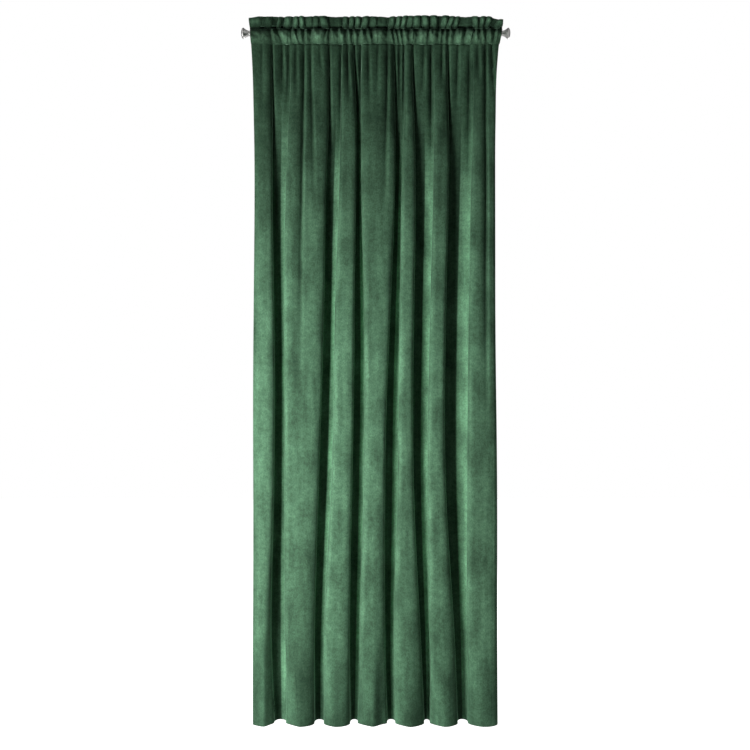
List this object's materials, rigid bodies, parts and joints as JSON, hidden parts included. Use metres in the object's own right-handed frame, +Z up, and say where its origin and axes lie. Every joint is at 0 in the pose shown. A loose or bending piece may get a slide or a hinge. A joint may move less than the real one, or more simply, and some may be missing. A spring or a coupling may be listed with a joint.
{
  "type": "curtain panel on a pole",
  "caption": "Long velvet curtain panel gathered on a telescopic metal pole through a rod pocket with a ruffled header; the pole has trumpet finials and lifts out of open wall brackets.",
  "frame": {"origin": "on the wall plane, midway between the two wall plates, at the height of the pole's axis", "axes": "+Z up, the wall is the plane y = 0 and the room is on the -Y side, so the front of the curtain faces -Y; the pole runs along X"},
  "size_m": [1.022, 0.1279, 2.6996],
  "materials": {
    "green_velvet": "short dense cut pile, dark green, soft sheen at grazing angles",
    "polished_nickel": "polished",
    "white_nylon": "moulded, satin"
  },
  "bodies": {
    "brackets": {"wall_plate_left": "polished_nickel", "wall_plate_right": "polished_nickel", "bracket_arm_left": "polished_nickel", "bracket_arm_right": "polished_nickel", "bracket_cup_left": "polished_nickel", "bracket_cup_right": "polished_nickel", "cup_liner_left": "white_nylon", "cup_liner_right": "white_nylon"},
    "screw_left": {"thumbscrew_left": "polished_nickel"},
    "screw_right": {"thumbscrew_right": "polished_nickel"},
    "pole": {"outer_tube": "polished_nickel", "mouth_bush": "white_nylon"},
    "pole_extension": {"inner_tube": "polished_nickel", "tail_glide": "white_nylon"},
    "finial_left": {"finial_spigot_left": "white_nylon", "finial_stud_left": "polished_nickel", "finial_collar_left": "polished_nickel", "finial_flare_left": "polished_nickel", "finial_dome_left": "polished_nickel"},
    "finial_right": {"finial_spigot_right": "white_nylon", "finial_stud_right": "polished_nickel", "finial_collar_right": "polished_nickel", "finial_flare_right": "polished_nickel", "finial_dome_right": "polished_nickel"},
    "curtain": {"header_frill": "green_velvet", "rod_pocket_front": "green_velvet", "rod_pocket_back": "green_velvet", "curtain_drop": "green_velvet", "bottom_hem": "green_velvet", "side_hem_left": "green_velvet"},
    "leading_edge": {"side_hem_right": "green_velvet"}
  },
  "joints": [
    {"name": "pole_lift", "type": "slide", "parent": "brackets", "child": "pole", "axis": [0, 0, 1], "range_m": [0, 0.02]},
    {"name": "pole_extend", "type": "slide", "parent": "pole", "child": "pole_extension", "axis": [1, 0, 0], "range_m": [0, 0.4]},
    {"name": "finial_left_pull", "type": "slide", "parent": "pole", "child": "finial_left", "axis": [-1, 0, 0], "range_m": [0, 0.04]},
    {"name": "finial_right_pull", "type": "slide", "parent": "pole_extension", "child": "finial_right", "axis": [1, 0, 0], "range_m": [0, 0.04]},
    {"name": "screw_left_turn", "type": "hinge", "parent": "brackets", "child": "screw_left", "pos_m": [-0.436, -0.08, -0.02], "axis": [0, 0, 1], "range_deg": [-720, 0]},
    {"name": "screw_right_turn", "type": "hinge", "parent": "brackets", "child": "screw_right", "pos_m": [0.436, -0.08, -0.02], "axis": [0, 0, 1], "range_deg": [-720, 0]},
    {"name": "curtain_swing", "type": "hinge", "parent": "pole", "child": "curtain", "pos_m": [0, -0.08, 0], "axis": [-1, 0, 0], "range_deg": [-0.5, 12]},
    {"name": "curtain_draw", "type": "slide", "parent": "curtain", "child": "leading_edge", "axis": [-1, 0, 0], "range_m": [0, 0.6], "deforming": ["header_frill", "rod_pocket_front", "rod_pocket_back", "curtain_drop", "bottom_hem", "side_hem_left"]}
  ]
}
